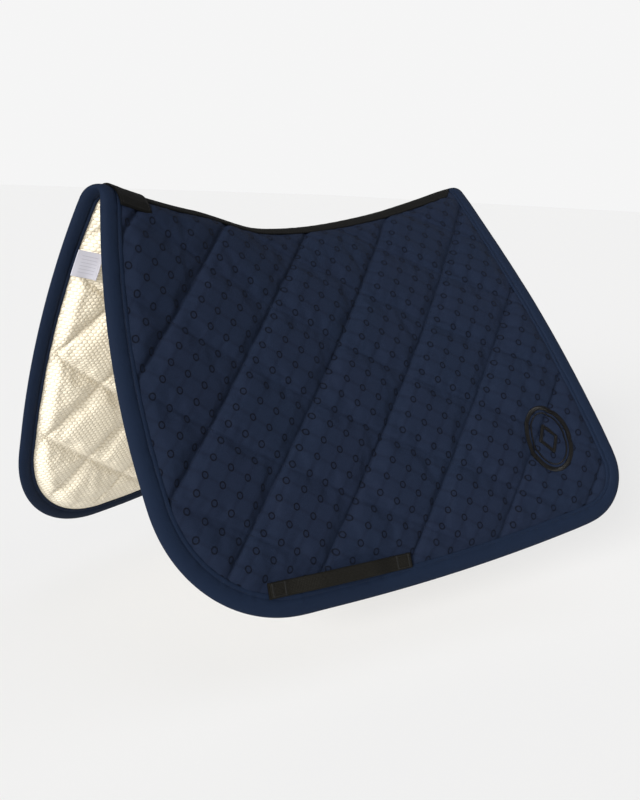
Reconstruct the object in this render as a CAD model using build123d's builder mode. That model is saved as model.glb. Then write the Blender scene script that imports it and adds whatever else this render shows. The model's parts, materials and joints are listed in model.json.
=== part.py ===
from build123d import *
import os
from math import sin, cos, tan, pi, radians, degrees, atan2, hypot, exp

# Quilted dressage saddle pad, standing open in the shape it takes on a horse's back.
# Millimetres. +X points to the horse's head, +Y to the horse's left, +Z up.
# The origin is on the underside of the spine, at the lowest point of its dip.

# ---- driving dimensions ----
SPINE_LENGTH = 570.0      # along the spine, front edge to rear edge
DROP = 486.5              # spine end to bottom edge, measured on the flat panel
SPINE_DIP = 38.9          # how far the ridge sags between its two ends
DIP_SKEW = -0.17          # moves the lowest point a little towards the withers
REAR_RISE = 3.9           # the rear end stands this much above the front end
SAG = 10.5                # the ridge drops this much more just behind the withers
REAR_LIFT = 6.0           # and turns up this much more towards its rear end
SAG_REACH = 62.0          # how far down each side these two die away
RIDGE_RADIUS = 24.2       # outer radius of the fold over the spine
SLOPE_TOP_MID, SLOPE_TOP_TWIST = 36.9, 17.7   # flap angle from vertical just below the ridge
SLOPE_LOW_MID, SLOPE_LOW_TWIST = 24.7, 0.7    # flap angle from vertical at the bottom edge
FRONT_SWEEP, FRONT_CURVE = -0.26, 0.28        # front edge, forward bow
REAR_OUT = 3.5            # the rear edge stands this much behind the spine length
REAR_SWEEP, REAR_CURVE = -0.13, 0.13          # rear edge, slight hollow
BOTTOM_TILT, BOTTOM_CURVE = 0.05, -0.09       # bottom edge
FRONT_CORNER, REAR_CORNER = 156.0, 60.5       # corner radii of the panel

SHELL_T = 1.6             # quilted outer fabric
FOAM_T = 8.4              # foam and wadding core
LINING_T = 1.6            # cream air mesh
GAP = 0.3                 # between layers, so that no two solids share volume
BIND_W = 21.0             # binding width on each face
BIND_T = 1.1              # binding tape thickness
EDGE_T = 1.6              # binding thickness round the outer edge

STRIP_HALF = 15.0         # black mesh spine strip, half width
STRIP_T = 1.4
TAPE_HALF, TAPE_T = 9.0, 0.8                  # inner tape under the spine seam
STRAP_U0, STRAP_U1 = 7.0, 48.0                # withers strap, along the spine
STRAP_HALF, STRAP_T = 30.0, 2.4               # withers strap, down each side

LOOP_U0, LOOP_W0 = 80.0, 441.0                # girth loop, front end on the panel
LOOP_U1, LOOP_W1 = 252.0, 458.0               # girth loop, rear end
LOOP_WIDTH, LOOP_T, LOOP_BOW = 18.0, 1.8, 10.5
TAB = 22.0                                    # sewn length at each end of the loop
EMBLEM_U, EMBLEM_W = 481.0, 378.0             # centre of the embroidered emblem
EMBLEM_WIDE, EMBLEM_HIGH, EMBLEM_T = 62.0, 84.0, 1.2

LABEL_W, LABEL_H, LABEL_T = 28.0, 29.0, 0.7   # care label on the right flap's lining
LABEL_U, LABEL_PANEL_W = -7.0, 79.0           # its sewn front edge, over the binding

# Fold lines, one each side, just under the lining: (y, z below the front end of the ridge)
FOLD_FRONT, FOLD_REAR = (7.0, -73.2), (13.0, -63.2)
FOLD_RAY = 33.0           # degrees above horizontal, where the flap starts
FOLD_OPEN = 17.5          # wedge left free at the fold, so that a flap can close

TOTAL_T = SHELL_T + FOAM_T + LINING_T + 2 * GAP
LIFT = 47.4 + TOTAL_T + GAP + TAPE_T          # ridge end height above the origin


def ridge_height(u):
    t = u / SPINE_LENGTH
    return REAR_RISE * t - SPINE_DIP * 4 * t * (1 - t) * (1 + DIP_SKEW * (2 * t - 1)) + LIFT


def ease(x):
    x = min(max(x, 0.0), 1.0)
    return x * x * (3 - 2 * x)


def ridge_sag(u, v):
    """Extra height of the surface near the ridge, v down the side."""
    at_ridge = -SAG * ease((u - 115) / 100) * (1 - ease((u - 200) / 280)) + REAR_LIFT * ease((u - 400) / 170)
    return at_ridge * exp(-(v / SAG_REACH) ** 2)


def slope_at(u):
    t = 2 * u / SPINE_LENGTH - 1
    return radians(SLOPE_TOP_MID + SLOPE_TOP_TWIST * t), radians(SLOPE_LOW_MID + SLOPE_LOW_TWIST * t)


def section_point(u, v, d=0.0):
    """(y, z) on the left half of the cross-section at u: v along the outer face from the
    ridge, d inwards through the thickness."""
    top, low = slope_at(u)
    v_arc = RIDGE_RADIUS * (pi / 2 - top)
    a = pi / 2 - min(v, v_arc) / RIDGE_RADIUS
    y, drop = RIDGE_RADIUS * cos(a), RIDGE_RADIUS * (1 - sin(a))
    if v > v_arc:
        k = (low - top) / (DROP - v_arc)
        k = k if abs(k) > 1e-7 else 1e-7
        w = v - v_arc
        a = top + k * w
        y += (cos(top) - cos(a)) / k
        drop += (sin(a) - sin(top)) / k
    return y - d * cos(a), ridge_height(u) + ridge_sag(u, v) - drop - d * sin(a)


def panel_to_v(u, w):
    return w + ridge_height(u) - LIFT


def outer_xyz(u, w, d=0.0):
    y, z = section_point(u, panel_to_v(u, w), d)
    return SPINE_LENGTH / 2 - u, y, z


def fold_point(u):
    t = u / SPINE_LENGTH
    return (FOLD_FRONT[0] + (FOLD_REAR[0] - FOLD_FRONT[0]) * t,
            FOLD_FRONT[1] + (FOLD_REAR[1] - FOLD_FRONT[1]) * t + LIFT)


def ray_v(u, d, angle):
    """v where the ray from the fold line at this angle meets the layer at depth d."""
    fy, fz = fold_point(u)
    lo, hi = 2.0, 170.0
    for _ in range(60):
        mid = (lo + hi) / 2
        y, z = section_point(u, mid, d)
        if degrees(atan2(z - fz, y - fy)) > angle:
            lo = mid
        else:
            hi = mid
    return (lo + hi) / 2


STATIONS = [-52.0, 0.0, 95.0, 190.0, 285.0, 380.0, 475.0, 570.0, 612.0]


def x_of(u):
    return SPINE_LENGTH / 2 - u


def flap_profile(u, d0, d1):
    """Closed cross-section of one layer of the left flap."""
    angle = FOLD_RAY - FOLD_OPEN / 2
    a0, a1, end = ray_v(u, d0, angle), ray_v(u, d1, angle), DROP + 30
    n = 7
    outer = [section_point(u, a0 + (end - a0) * i / n, d0) for i in range(n + 1)]
    inner = [section_point(u, a1 + (end - a1) * i / n, d1) for i in range(n + 1)]
    with BuildSketch(Plane.YZ.offset(x_of(u))) as section:
        with BuildLine():
            Spline(*outer)
            Line(outer[-1], inner[-1])
            Spline(*reversed(inner))
            Line(inner[0], outer[0])
        make_face()
    return section.sketch


def upper_profile(u, d0, d1, seam, v_end=None):
    """Closed cross-section of one layer of the left half of the spine zone: from the seam
    at the ridge down to the fold, or to v_end."""
    angle = FOLD_RAY + FOLD_OPEN / 2
    a0 = ray_v(u, d0, angle) if v_end is None else v_end
    a1 = ray_v(u, d1, angle) if v_end is None else v_end
    n = 6
    outer = [section_point(u, a0 * i / n, d0) for i in range(n + 1)]
    inner = [section_point(u, a1 * i / n, d1) for i in range(n + 1)]
    outer = [(y + seam * (1 - i / n), z) for i, (y, z) in enumerate(outer)]
    inner = [(y + seam * (1 - i / n), z) for i, (y, z) in enumerate(inner)]
    with BuildSketch(Plane.YZ.offset(x_of(u))) as section:
        with BuildLine():
            Spline(*outer)
            Line(outer[-1], inner[-1])
            Spline(*reversed(inner))
            Line(inner[0], outer[0])
        make_face()
    return section.sketch


def bridge_profile(u, d0, d1, half):
    """Closed cross-section of a band that lies over the ridge, both sides."""
    n = 5
    o = [section_point(u, half * i / n, d0) for i in range(n + 1)]
    q = [section_point(u, half * i / n, d1) for i in range(n + 1)]
    outer = [(-y, z) for y, z in reversed(o[1:])] + o
    inner = [(-y, z) for y, z in reversed(q[1:])] + q
    with BuildSketch(Plane.YZ.offset(x_of(u))) as section:
        with BuildLine():
            Spline(*outer)
            Line(outer[-1], inner[-1])
            Spline(*reversed(inner))
            Line(inner[0], outer[0])
        make_face()
    return section.sketch


def bridge_profile_to_fold(u, d0, d1):
    """The whole spine zone in cross-section, from fold to fold."""
    angle = FOLD_RAY + FOLD_OPEN / 2
    a0, a1 = ray_v(u, d0, angle), ray_v(u, d1, angle)
    n = 6
    o = [section_point(u, a0 * i / n, d0) for i in range(n + 1)]
    q = [section_point(u, a1 * i / n, d1) for i in range(n + 1)]
    outer = [(-y, z) for y, z in reversed(o[1:])] + o
    inner = [(-y, z) for y, z in reversed(q[1:])] + q
    with BuildSketch(Plane.YZ.offset(x_of(u))) as section:
        with BuildLine():
            Spline(*outer)
            Line(outer[-1], inner[-1])
            Spline(*reversed(inner))
            Line(inner[0], outer[0])
        make_face()
    return section.sketch


def panel_outline(inset):
    """Key points of the flap outline on the flat panel, moved inwards by inset:
    front edge, front corner, bottom, rear corner, rear edge."""
    L = DROP

    def front(w):
        return FRONT_SWEEP * w + FRONT_CURVE * w * w / L + inset

    def rear(w):
        return SPINE_LENGTH + REAR_OUT + REAR_SWEEP * w + REAR_CURVE * w * w / L - inset

    def bottom(u):
        m = u - SPINE_LENGTH / 2
        return L + BOTTOM_TILT * m + BOTTOM_CURVE * m * m / SPINE_LENGTH - inset

    rf, rr = FRONT_CORNER - inset, REAR_CORNER - inset
    # corner centres: a radius in from both edges
    def centre(edge, r, sign):
        w = L - r
        u = edge(w) + sign * r
        for _ in range(30):
            w = bottom(u) - r * 1.0
            u = edge(w) + sign * r
        return u, w

    cf, cr = centre(front, rf, 1), centre(rear, rr, -1)
    return front, rear, bottom, cf, rf, cr, rr


def outline_sketch(inset, top_z=200.0):
    """The flap outline seen from the side, as a closed sketch on the XZ plane."""
    front, rear, bottom, cf, rf, cr, rr = panel_outline(inset)

    def xz(u, w):
        x, _, z = outer_xyz(u, w)
        return x, z

    def arc(c, r, a0, a1, n):
        return [(c[0] + r * cos(radians(a0 + (a1 - a0) * i / n)),
                 c[1] + r * sin(radians(a0 + (a1 - a0) * i / n))) for i in range(n + 1)]

    f_pts = [(front(w), w) for w in [-10, cf[1] * 0.25, cf[1] * 0.5, cf[1] * 0.75]]
    fc = arc(cf, rf, 180, 90, 5)
    fc[0] = (front(cf[1]), cf[1])
    fc[-1] = (cf[0], bottom(cf[0]))
    rc = arc(cr, rr, 90, 0, 4)
    rc[0] = (cr[0], bottom(cr[0]))
    rc[-1] = (rear(cr[1]), cr[1])
    b_pts = [(u, bottom(u)) for u in [cf[0] + (cr[0] - cf[0]) * k for k in (0.33, 0.67)]]
    r_pts = [(rear(w), w) for w in [cr[1] * 0.75, cr[1] * 0.5, cr[1] * 0.25, -14]]
    edge_front = [xz(*p) for p in f_pts + [fc[0]]]
    corner_front = [xz(*p) for p in fc]
    edge_bottom = [xz(*p) for p in [fc[-1]] + b_pts + [rc[0]]]
    corner_rear = [xz(*p) for p in rc]
    edge_rear = [xz(*p) for p in [rc[-1]] + r_pts]
    with BuildSketch(Plane.XZ.offset(-450)) as s:
        with BuildLine():
            Line((edge_front[0][0], top_z), edge_front[0])
            Spline(*edge_front)
            Spline(*corner_front)
            Spline(*edge_bottom)
            Spline(*corner_rear)
            Spline(*edge_rear)
            Line(edge_rear[-1], (edge_rear[-1][0], top_z))
            Line((edge_rear[-1][0], top_z), (edge_front[0][0], top_z))
        make_face()
    return s.sketch


def flap_layer(d0, d1, inset):
    with BuildPart() as layer:
        for u in STATIONS:
            add(flap_profile(u, d0, d1))
        loft()
        add(outline_sketch(inset))
        extrude(amount=900, dir=(0, -1, 0), mode=Mode.INTERSECT)
    return layer.part


def upper_layer(d0, d1, inset):
    with BuildPart() as layer:
        for u in STATIONS:
            add(upper_profile(u, d0, d1, GAP / 2))
        loft()
        add(outline_sketch(inset))
        extrude(amount=900, dir=(0, -1, 0), mode=Mode.INTERSECT)
    return layer.part


def both_sides(piece, left_name, right_name):
    """Writes the left piece and its mirror image."""
    piece.label = left_name
    export_step(piece, f"parts/{left_name}.step")
    with BuildPart() as other:
        add(mirror(piece, about=Plane.XZ, mode=Mode.PRIVATE))
    other.part.label = right_name
    export_step(other.part, f"parts/{right_name}.step")
    return piece, other.part


os.makedirs("parts", exist_ok=True)

D_SHELL = (0.0, SHELL_T)
D_FOAM = (SHELL_T + GAP, SHELL_T + GAP + FOAM_T)
D_LINING = (SHELL_T + 2 * GAP + FOAM_T, TOTAL_T)
INSET = EDGE_T + GAP

# ---- flaps: outer fabric, foam core and lining ----
left_outer_shell = flap_layer(*D_SHELL, INSET)
left_foam_core = flap_layer(*D_FOAM, INSET)
left_lining = flap_layer(*D_LINING, INSET)
both_sides(left_outer_shell, "left_outer_shell", "right_outer_shell")
both_sides(left_foam_core, "left_foam_core", "right_foam_core")
both_sides(left_lining, "left_lining", "right_lining")

# ---- binding round each flap: a folded tape over the edge of all three layers ----
with BuildPart() as core_space:
    for u in STATIONS:
        add(flap_profile(u, -GAP, TOTAL_T + GAP))
    loft()
    add(outline_sketch(EDGE_T))
    extrude(amount=900, dir=(0, -1, 0), mode=Mode.INTERSECT)

with BuildPart() as left_edge_binding:
    for u in STATIONS:
        add(flap_profile(u, -GAP - BIND_T, TOTAL_T + GAP + BIND_T))
    loft()
    add(outline_sketch(0.0))
    extrude(amount=900, dir=(0, -1, 0), mode=Mode.INTERSECT)
    add(outline_sketch(BIND_W, top_z=260.0))
    extrude(amount=900, dir=(0, -1, 0), mode=Mode.SUBTRACT)
    add(core_space.part, mode=Mode.SUBTRACT)
both_sides(left_edge_binding.part, "left_edge_binding", "right_edge_binding")

# ---- spine zone: the upper ends of the same three layers, seamed at the ridge ----
both_sides(upper_layer(*D_SHELL, INSET), "left_upper_shell", "right_upper_shell")
both_sides(upper_layer(*D_FOAM, INSET), "left_upper_foam", "right_upper_foam")
both_sides(upper_layer(*D_LINING, INSET), "left_upper_lining", "right_upper_lining")

# ---- arch bindings: the same tape across the front and rear ends of the spine ----
with BuildPart() as upper_core:
    for u in STATIONS:
        add(bridge_profile_to_fold(u, -GAP, TOTAL_T + GAP))
    loft()
    add(outline_sketch(EDGE_T))
    extrude(amount=900, dir=(0, -1, 0), mode=Mode.INTERSECT)

with BuildPart() as arch_bindings:
    for u in STATIONS:
        add(bridge_profile_to_fold(u, -GAP - BIND_T, TOTAL_T + GAP + BIND_T))
    loft()
    add(outline_sketch(0.0))
    extrude(amount=900, dir=(0, -1, 0), mode=Mode.INTERSECT)
    add(outline_sketch(BIND_W, top_z=260.0))
    extrude(amount=900, dir=(0, -1, 0), mode=Mode.SUBTRACT)
    add(upper_core.part, mode=Mode.SUBTRACT)

ends = arch_bindings.part.solids().sort_by(Axis.X)
with BuildPart() as rear_arch_binding:
    add(ends[0])
with BuildPart() as front_arch_binding:
    add(ends[-1])
rear_arch_binding.part.label = "rear_arch_binding"
export_step(rear_arch_binding.part, "parts/rear_arch_binding.step")
front_arch_binding.part.label = "front_arch_binding"
export_step(front_arch_binding.part, "parts/front_arch_binding.step")

# ---- mesh strip over the spine seam, from the withers strap to the rear binding ----
STRIP_U0, STRIP_U1 = STRAP_U1 + 1.0, SPINE_LENGTH - BIND_W - 1.0
with BuildPart() as spine_mesh_strip:
    for u in STATIONS:
        add(bridge_profile(u, -GAP - STRIP_T, -GAP, STRIP_HALF))
    loft()
    with Locations((x_of((STRIP_U0 + STRIP_U1) / 2), 0, 0)):
        Box(STRIP_U1 - STRIP_U0, 400, 800, mode=Mode.INTERSECT)
spine_mesh_strip.part.label = "spine_mesh_strip"
export_step(spine_mesh_strip.part, "parts/spine_mesh_strip.step")

# ---- tape under the spine seam, between the two arch bindings ----
TAPE_U0, TAPE_U1 = BIND_W + 1.0, SPINE_LENGTH - BIND_W - 1.0
with BuildPart() as inner_spine_tape:
    for u in STATIONS:
        add(bridge_profile(u, TOTAL_T + GAP, TOTAL_T + GAP + TAPE_T, TAPE_HALF))
    loft()
    with Locations((x_of((TAPE_U0 + TAPE_U1) / 2), 0, 0)):
        Box(TAPE_U1 - TAPE_U0, 400, 800, mode=Mode.INTERSECT)
inner_spine_tape.part.label = "inner_spine_tape"
export_step(inner_spine_tape.part, "parts/inner_spine_tape.step")

# ---- withers strap: webbing sewn across the front of the spine ----
# Its front part lies on the arch binding, so all of it stands clear of that tape.
STRAP_D = -(GAP + BIND_T + GAP)
with BuildPart() as withers_strap:
    for u in STATIONS:
        add(bridge_profile(u, STRAP_D - STRAP_T, STRAP_D, STRAP_HALF))
    loft()
    with Locations((x_of((STRAP_U0 + STRAP_U1) / 2), 0, 0)):
        Box(STRAP_U1 - STRAP_U0, 400, 800, mode=Mode.INTERSECT)
withers_strap.part.label = "withers_strap"
export_step(withers_strap.part, "parts/withers_strap.step")


def surface_plane(u, w, u2, w2, stand_off):
    """A plane on the flap's outer face at (u, w): local x runs towards (u2, w2), local z
    points outwards."""
    p, q = Vector(*outer_xyz(u, w)), Vector(*outer_xyz(u2, w2))
    e = 2.0
    du = Vector(*outer_xyz(u + e, w)) - Vector(*outer_xyz(u - e, w))
    dw = Vector(*outer_xyz(u, w + e)) - Vector(*outer_xyz(u, w - e))
    n = du.cross(dw).normalized()
    if n.Y < 0:
        n = n * -1
    return Plane(origin=p + n * stand_off, x_dir=q - p, z_dir=n)


# ---- girth keeper loop: webbing sewn at both ends, bowed off the flap between ----
mid_u, mid_w = (LOOP_U0 + LOOP_U1) / 2, (LOOP_W0 + LOOP_W1) / 2
loop_plane = surface_plane(mid_u, mid_w, LOOP_U1, LOOP_W1, 0.0)
LOOP_LEN = (Vector(*outer_xyz(LOOP_U1, LOOP_W1)) - Vector(*outer_xyz(LOOP_U0, LOOP_W0))).length
STAND = 4.0               # clears the curved fabric and the binding under the sewn tabs
with BuildPart() as left_girth_loop:
    # section through the strap's thickness, along its length
    side = Plane(origin=loop_plane.origin, x_dir=loop_plane.x_dir, z_dir=loop_plane.y_dir * -1)
    h = LOOP_LEN / 2
    with BuildSketch(side):
        with BuildLine():
            Polyline((-h, STAND), (-h + TAB, STAND))
            Spline((-h + TAB, STAND), (-h * 0.45, STAND + LOOP_BOW * 0.86), (0, STAND + LOOP_BOW),
                   (h * 0.45, STAND + LOOP_BOW * 0.86), (h - TAB, STAND),
                   tangents=((1, 0.1), (1, -0.1)))
            Polyline((h - TAB, STAND), (h, STAND), (h, STAND + LOOP_T), (h - TAB, STAND + LOOP_T))
            Spline((h - TAB, STAND + LOOP_T), (h * 0.45, STAND + LOOP_T + LOOP_BOW * 0.86),
                   (0, STAND + LOOP_T + LOOP_BOW), (-h * 0.45, STAND + LOOP_T + LOOP_BOW * 0.86),
                   (-h + TAB, STAND + LOOP_T), tangents=((-1, 0.1), (-1, -0.1)))
            Polyline((-h + TAB, STAND + LOOP_T), (-h, STAND + LOOP_T), (-h, STAND))
        make_face()
    extrude(amount=LOOP_WIDTH / 2, both=True)
both_sides(left_girth_loop.part, "left_girth_loop", "right_girth_loop")

# bar tacks: the dense stitching that holds the loop's ends down
with BuildPart() as left_loop_bartacks:
    with BuildSketch(loop_plane.offset(STAND + LOOP_T + 0.1)):
        with Locations((-h + 3.5, 0), (-h + TAB - 3.5, 0), (h - 3.5, 0), (h - TAB + 3.5, 0)):
            SlotOverall(LOOP_WIDTH - 3.0, 2.4, rotation=90)
    extrude(amount=0.8)
both_sides(left_loop_bartacks.part, "left_loop_bartacks", "right_loop_bartacks")

# ---- embroidered emblem: a plain lozenge outline with an inner dot row left open ----
emblem_plane = surface_plane(EMBLEM_U, EMBLEM_W, EMBLEM_U + 20, EMBLEM_W, 0.7)
with BuildPart() as left_emblem:
    with BuildSketch(emblem_plane):
        Ellipse(EMBLEM_WIDE / 2, EMBLEM_HIGH / 2)
        Ellipse(EMBLEM_WIDE / 2 - 5.5, EMBLEM_HIGH / 2 - 5.5, mode=Mode.SUBTRACT)
    extrude(amount=EMBLEM_T)
both_sides(left_emblem.part, "left_emblem", "right_emblem")

# ---- care label: a small satin tab, sewn by its front edge to the right flap's lining ----
LABEL_D = TOTAL_T + GAP + BIND_T
label_a = Vector(*outer_xyz(LABEL_U, LABEL_PANEL_W, LABEL_D))
label_b = Vector(*outer_xyz(LABEL_U - 2.0, LABEL_PANEL_W + LABEL_H, LABEL_D))
label_c = Vector(*outer_xyz(LABEL_U - 1.0 + LABEL_W, LABEL_PANEL_W + LABEL_H / 2 + 6.0, LABEL_D))
to_right = lambda p: Vector(p.X, -p.Y, p.Z)
A, B, C = to_right(label_a), to_right(label_b), to_right(label_c)
mid = (A + B) * 0.5
along = (B - A).normalized()
out = (C - mid).normalized()
normal = along.cross(out).normalized()
if normal.Y < 0:
    normal = normal * -1
out = (out - along * out.dot(along)).normalized()
lift_plane = Plane(origin=mid + normal * 0.8, x_dir=out, z_dir=normal)
tilted = lift_plane.rotated((0, -5, 0))
with BuildPart() as care_label:
    with BuildSketch(tilted):
        with Locations((LABEL_W / 2, 0)):
            RectangleRounded(LABEL_W, LABEL_H, 1.5)
    extrude(amount=LABEL_T)
care_label.part.label = "care_label"
export_step(care_label.part, "parts/care_label.step")
print("label hinge", tuple(tilted.origin), tuple(along), "normal", tuple(normal), "out", tuple(out))
print("loop plane", tuple(loop_plane.origin), tuple(loop_plane.x_dir), tuple(loop_plane.z_dir), LOOP_LEN)
for u in (0.0, SPINE_LENGTH):
    print("fold line at u", u, x_of(u), fold_point(u))
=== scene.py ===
import bpy, bmesh, json, math
import numpy as np
from mathutils import Vector, Matrix


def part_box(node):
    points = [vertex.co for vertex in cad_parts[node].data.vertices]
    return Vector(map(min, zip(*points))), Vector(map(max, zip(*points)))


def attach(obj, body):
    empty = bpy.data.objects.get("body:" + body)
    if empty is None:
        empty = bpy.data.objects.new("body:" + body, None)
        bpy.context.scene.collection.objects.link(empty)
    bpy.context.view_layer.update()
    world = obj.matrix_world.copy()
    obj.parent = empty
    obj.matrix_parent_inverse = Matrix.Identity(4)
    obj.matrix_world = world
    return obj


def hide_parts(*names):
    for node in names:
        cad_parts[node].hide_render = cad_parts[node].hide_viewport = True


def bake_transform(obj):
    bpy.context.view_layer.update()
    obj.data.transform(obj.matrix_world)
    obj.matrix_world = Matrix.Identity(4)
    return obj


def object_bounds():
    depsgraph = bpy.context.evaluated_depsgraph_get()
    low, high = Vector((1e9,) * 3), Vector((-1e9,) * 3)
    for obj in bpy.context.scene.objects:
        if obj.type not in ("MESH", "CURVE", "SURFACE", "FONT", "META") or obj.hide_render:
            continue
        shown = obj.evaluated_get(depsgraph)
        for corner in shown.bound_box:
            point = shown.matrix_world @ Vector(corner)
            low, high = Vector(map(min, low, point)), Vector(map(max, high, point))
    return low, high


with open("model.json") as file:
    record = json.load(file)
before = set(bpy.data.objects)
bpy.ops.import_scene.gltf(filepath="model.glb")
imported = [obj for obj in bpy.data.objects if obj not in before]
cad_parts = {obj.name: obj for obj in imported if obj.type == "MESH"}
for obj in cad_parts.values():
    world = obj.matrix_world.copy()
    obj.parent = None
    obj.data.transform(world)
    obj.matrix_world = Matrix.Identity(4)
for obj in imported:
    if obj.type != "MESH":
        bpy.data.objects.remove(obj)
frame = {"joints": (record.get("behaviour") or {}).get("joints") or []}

cad_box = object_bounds()
rng = np.random.default_rng(7)

# ------------------------------------------------------------------ shape of the pad, in millimetres
S, L = 570.0, 486.5
DIP, SKEW, RISE = 38.9, -0.17, 3.9
R = 24.2
TOP_M, TOP_T, LOW_M, LOW_T = 36.9, 17.7, 24.7, 0.7
F1, F2, R1, R2, B1, B2 = -0.26, 0.28, -0.13, 0.13, 0.05, -0.09
RF, RR = 156.0, 60.5
THICK = 12.2
LIFT = 60.7


def smooth(x):
    x = np.clip(x, 0.0, 1.0)
    return x * x * (3 - 2 * x)


def z0(u):
    t = u / S
    return RISE * t - DIP * 4 * t * (1 - t) * (1 + SKEW * (2 * t - 1))


def sag(u, v):
    """Extra height near the ridge: lower behind the withers, higher at the rear."""
    at = -10.5 * smooth((u - 115) / 100) * (1 - smooth((u - 200) / 280)) + 6.0 * smooth((u - 400) / 170)
    return at * np.exp(-(v / 62.0) ** 2)


def surf(u, w, d, side=1):
    """Panel position (u, w) and depth d inwards from the outer face, to metres."""
    u = np.asarray(u, float); w = np.asarray(w, float); d = np.asarray(d, float)
    u, w, d = np.broadcast_arrays(u, w, d)
    v = np.maximum(w + z0(u), 0.0)
    t = 2 * u / S - 1
    top = np.radians(TOP_M + TOP_T * t); low = np.radians(LOW_M + LOW_T * t)
    va = R * (np.pi / 2 - top)
    a = np.pi / 2 - np.minimum(v, va) / R
    y = R * np.cos(a); drop = R * (1 - np.sin(a))
    k = (low - top) / (L - va)
    k = np.where(np.abs(k) < 1e-7, 1e-7, k)
    q = np.maximum(v - va, 0)
    b = top + k * q
    y = y + np.where(q > 0, (np.cos(top) - np.cos(b)) / k, 0)
    drop = drop + np.where(q > 0, (np.sin(b) - np.sin(top)) / k, 0)
    th = np.where(q > 0, b, a)
    y = y - d * np.cos(th)
    z = z0(u) + LIFT - drop - d * np.sin(th) + sag(u, v)
    return np.stack([S / 2 - u, side * y, z], -1) * 1e-3


# ------------------------------------------------------------------ outline on the flat panel
def front(w): return F1 * w + F2 * w * w / L
def rear(w): return S + 3.5 + R1 * w + R2 * w * w / L
def bottom(u): m = u - S / 2; return L + B1 * m + B2 * m * m / S


def corner_centre(edge, r, sign):
    w = L - r
    for _ in range(40):
        u = edge(w) + sign * r
        w = bottom(u) - r
    return u, w


def outline(step=2.5):
    cf, cr = corner_centre(front, RF, 1), corner_centre(rear, RR, -1)
    # the ridge ends: where the edges meet v = 0
    wf = 0.0
    for _ in range(40): wf = -z0(front(wf))
    wr = 0.0
    for _ in range(40): wr = -z0(rear(wr))
    w = np.linspace(wf, cf[1], 60)
    pts = [np.stack([front(w), w], -1)]
    a = np.radians(np.linspace(180, 90, 60))
    arc = np.stack([cf[0] + RF * np.cos(a), cf[1] + RF * np.sin(a)], -1)
    f = np.linspace(0, 1, 60)[:, None]
    e0, e1 = np.array([front(cf[1]), cf[1]]), np.array([cf[0], bottom(cf[0])])
    arc = arc + (e0 - arc[0]) * (1 - f) + (e1 - arc[-1]) * f
    pts.append(arc[1:])
    u = np.linspace(cf[0], cr[0], 80)
    pts.append(np.stack([u, bottom(u)], -1)[1:])
    a = np.radians(np.linspace(90, 0, 40))
    arc = np.stack([cr[0] + RR * np.cos(a), cr[1] + RR * np.sin(a)], -1)
    f = np.linspace(0, 1, 40)[:, None]
    e0, e1 = np.array([cr[0], bottom(cr[0])]), np.array([rear(cr[1]), cr[1]])
    arc = arc + (e0 - arc[0]) * (1 - f) + (e1 - arc[-1]) * f
    pts.append(arc[1:])
    w = np.linspace(cr[1], wr, 60)
    pts.append(np.stack([rear(w), w], -1)[1:])
    p = np.concatenate(pts)
    for _ in range(3):                      # soften the joins between the curves
        seg = np.r_[0, np.cumsum(np.hypot(*np.diff(p, axis=0).T))]
        n = int(seg[-1] / step)
        s = np.linspace(0, seg[-1], n)
        p = np.stack([np.interp(s, seg, p[:, 0]), np.interp(s, seg, p[:, 1])], -1)
        k = np.array([1, 4, 6, 4, 1]) / 16
        for _ in range(8):
            q = p.copy()
            for c in (0, 1):
                q[2:-2, c] = np.convolve(p[:, c], k, "valid")
            p = q
    seg = np.r_[0, np.cumsum(np.hypot(*np.diff(p, axis=0).T))]
    t = np.gradient(p, axis=0); t /= np.linalg.norm(t, axis=1)[:, None]
    nrm = np.stack([t[:, 1], -t[:, 0]], -1)   # inwards: the outline runs front, bottom, rear
    return p, nrm, seg


OUT, OUT_N, OUT_S = outline()
if np.dot(OUT_N[40], np.array([1.0, 0])) < 0:
    OUT_N = -OUT_N


def edge_distance(p):
    """Distance from panel points to the outline, in blocks."""
    out = np.empty(len(p))
    for i in range(0, len(p), 2000):
        b = p[i:i + 2000]
        out[i:i + 2000] = np.sqrt(((b[:, None] - OUT[None]) ** 2).sum(2).min(1))
    return out


def inside(p):
    """Point in the closed outline."""
    poly = np.concatenate([OUT, [[OUT[-1, 0], -60], [OUT[0, 0], -60]]])
    x, y = p[:, 0], p[:, 1]
    c = np.zeros(len(p), bool)
    a, b = poly, np.roll(poly, -1, axis=0)
    for (x1, y1), (x2, y2) in zip(a, b):
        if y1 == y2: continue
        hit = (y1 > y) != (y2 > y)
        c ^= hit & (x < (x2 - x1) * (y - y1) / (y2 - y1) + x1)
    return c


# ------------------------------------------------------------------ quilting: two families of straight seams
AA, OA, PA = math.radians(44.89), 51.13, 90.85
AB, OB, PB = math.radians(-54.47), 228.71, -82.56
NA, NB = np.array([math.cos(AA), math.sin(AA)]), np.array([math.cos(AB), math.sin(AB)])
M2 = np.linalg.inv(np.stack([NA, NB]))
LEFT_LINES, RIGHT_LINES = (51.13, 90.85, 228.71, -82.56), (53.9, 84.6, 246.5, -83.2)


def use_lines(lines):
    """The seams of the left and right flaps lie a little differently."""
    global OA, PA, OB, PB
    OA, PA, OB, PB = lines


def ab_to_panel(a, b):
    return np.stack([OA + a * PA, OB + b * PB], -1) @ M2.T


def panel_to_ab(p):
    return (p @ NA - OA) / PA, (p @ NB - OB) / PB


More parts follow.
